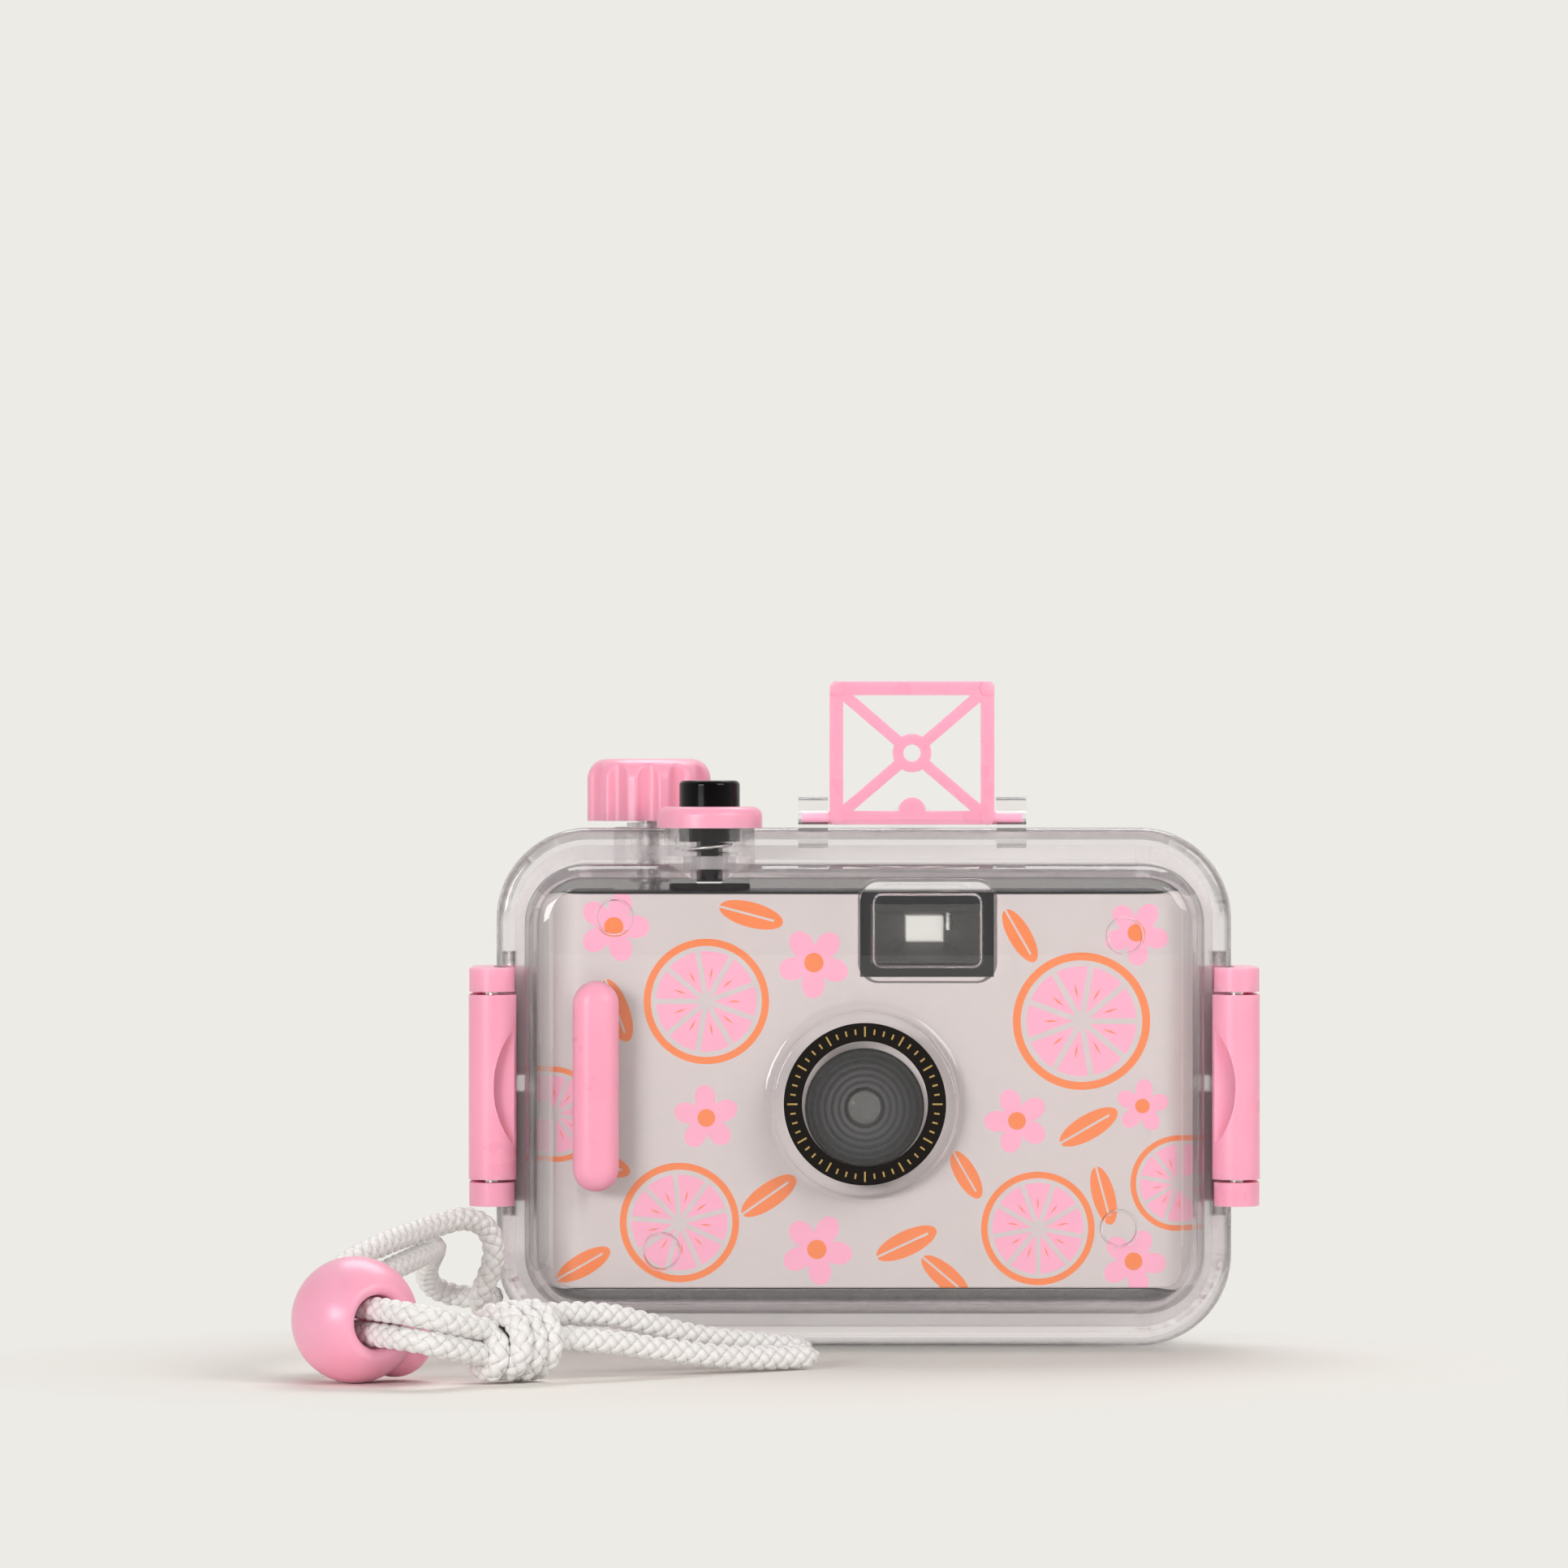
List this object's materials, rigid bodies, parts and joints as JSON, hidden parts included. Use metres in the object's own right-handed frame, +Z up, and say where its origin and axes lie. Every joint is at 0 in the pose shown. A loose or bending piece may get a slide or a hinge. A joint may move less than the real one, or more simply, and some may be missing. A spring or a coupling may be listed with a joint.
{
  "type": "underwater camera",
  "caption": "Compact film camera in a clear latched waterproof housing, with a fold-down sight, push button, winding knob and a wrist strap with a ball cord lock.",
  "frame": {"origin": "centre of the housing's box on the surface that it stands on, without the strap and cord lock", "axes": "+X to the right in the picture, +Y from the lens to the back, +Z up"},
  "size_m": [0.158, 0.1242, 0.1122],
  "materials": {
    "clear_shell": "clear polished plastic",
    "pink_plastic": "smooth satin gloss",
    "black_plastic": "black gloss",
    "seal_rubber": "translucent silicone",
    "steel": "bright steel",
    "camera_body": "moulded black plastic",
    "camera_cover": "pale warm plastic",
    "printed_card": "printed card",
    "lens_glass": "polished lens",
    "cord": "braided nylon"
  },
  "bodies": {
    "front_case": {"front_shell": "clear_shell", "port_ring": "black_plastic", "grip_bar": "pink_plastic", "shutter_collar": "pink_plastic", "shutter_spring": "steel", "shutter_seal": "seal_rubber", "strap_strand_long": "cord", "strap_strand_short": "cord", "strap_knot": "cord", "strap_tail_front": "cord", "strap_tail_rear": "cord", "cord_lock_body": "pink_plastic", "cord_lock_spring": "steel"},
    "rear_case": {"rear_shell": "clear_shell", "housing_gasket": "seal_rubber", "latch_hinge_pins": "steel", "winding_seal": "seal_rubber", "camera_chassis": "camera_body", "camera_front_cover": "camera_cover", "print_card": "printed_card", "camera_top_cover": "camera_cover", "camera_back_door": "camera_body", "door_latch": "camera_body", "lens_barrel": "camera_body", "lens_front_element": "lens_glass", "lens_rear_element": "lens_glass", "aperture_plate": "camera_body", "shutter_blade_pin": "steel", "viewfinder_front_lens": "lens_glass", "viewfinder_rear_lens": "lens_glass", "pressure_plate": "steel", "pressure_spring": "steel", "cover_screws": "steel"},
    "push_button": {"shutter_plunger": "black_plastic"},
    "finder": {"finder_frame": "pink_plastic"},
    "winder": {"winding_knob": "pink_plastic", "winding_shaft": "steel", "winding_clip": "steel", "drive_gear": "camera_body"},
    "advance": {"advance_wheel": "camera_body", "take_up_spool": "camera_body"},
    "counter": {"frame_counter": "camera_cover"},
    "sprocket": {"film_sprocket": "camera_body"},
    "rewind": {"rewind_knob": "camera_body"},
    "camera_button": {"camera_shutter_button": "black_plastic"},
    "blade": {"shutter_blade": "camera_body"},
    "link_left": {"left_link": "pink_plastic", "left_lever_pin": "steel"},
    "link_right": {"right_link": "pink_plastic", "right_lever_pin": "steel"},
    "lever_left": {"left_lever": "pink_plastic"},
    "lever_right": {"right_lever": "pink_plastic"},
    "lock_plunger": {"cord_lock_plunger": "pink_plastic"}
  },
  "joints": [
    {"name": "case_open", "type": "slide", "parent": "front_case", "child": "rear_case", "axis": [0, 1, 0], "range_m": [0, 0.0172]},
    {"name": "left_link_swing", "type": "hinge", "parent": "rear_case", "child": "link_left", "pos_m": [-0.06, 0.01, 0.044], "axis": [0, 0, -1], "range_deg": [0, 116]},
    {"name": "right_link_swing", "type": "hinge", "parent": "rear_case", "child": "link_right", "pos_m": [0.06, 0.01, 0.044], "axis": [0, 0, 1], "range_deg": [0, 116]},
    {"name": "left_lever_flip", "type": "hinge", "parent": "link_left", "child": "lever_left", "pos_m": [-0.0625, -0.0113, 0.044], "axis": [0, 0, 1], "range_deg": [0, 95]},
    {"name": "right_lever_flip", "type": "hinge", "parent": "link_right", "child": "lever_right", "pos_m": [0.0625, -0.0113, 0.044], "axis": [0, 0, -1], "range_deg": [0, 95]},
    {"name": "finder_fold", "type": "hinge", "parent": "front_case", "child": "finder", "pos_m": [0.0081, -0.0065, 0.0892], "axis": [-1, 0, 0], "range_deg": [0, 90]},
    {"name": "shutter_press", "type": "slide", "parent": "front_case", "child": "push_button", "axis": [0, 0, -1], "range_m": [0, 0.0018], "stiffness_N_per_m": 400, "springref_m": -0.004, "deforming": ["shutter_spring"]},
    {"name": "camera_button_press", "type": "slide", "parent": "rear_case", "child": "camera_button", "axis": [0, 0, -1], "range_m": [0, 0.0019]},
    {"name": "shutter_trip", "type": "hinge", "parent": "rear_case", "child": "blade", "pos_m": [-0.00665, -0.0121, 0.04735], "axis": [0, 1, 0], "range_deg": [-45, 0]},
    {"name": "winder_turn", "type": "hinge", "parent": "rear_case", "child": "winder", "pos_m": [-0.0366, 0.013, 0.09], "axis": [0, 0, 1], "continuous": true},
    {"name": "advance_turn", "type": "hinge", "parent": "rear_case", "child": "advance", "pos_m": [-0.0407, 0.00172, 0.07], "axis": [0, 0, 1], "continuous": true},
    {"name": "counter_turn", "type": "hinge", "parent": "rear_case", "child": "counter", "pos_m": [-0.024, 0.0015, 0.074], "axis": [0, 0, 1], "continuous": true},
    {"name": "sprocket_turn", "type": "hinge", "parent": "rear_case", "child": "sprocket", "pos_m": [-0.026, 0.007, 0.04], "axis": [0, 0, 1], "continuous": true},
    {"name": "rewind_turn", "type": "hinge", "parent": "rear_case", "child": "rewind", "pos_m": [0.037, 0, 0.074], "axis": [0, 0, 1], "continuous": true},
    {"name": "cord_lock_press", "type": "slide", "parent": "front_case", "child": "lock_plunger", "axis": [-0.7686, -0.4996, 0.3995], "range_m": [0, 0.0016], "stiffness_N_per_m": 500, "springref_m": -0.004, "deforming": ["cord_lock_spring"]}
  ],
  "couplings": [
    {"joint": "left_link_swing", "follows": "case_open", "rad_per_m": 116.5},
    {"joint": "right_link_swing", "follows": "case_open", "rad_per_m": 116.5},
    {"joint": "camera_button_press", "follows": "shutter_press", "ratio": 1},
    {"joint": "shutter_trip", "follows": "shutter_press", "rad_per_m": -333},
    {"joint": "advance_turn", "follows": "winder_turn", "ratio": -0.66667},
    {"joint": "counter_turn", "follows": "winder_turn", "ratio": 0.05}
  ]
}
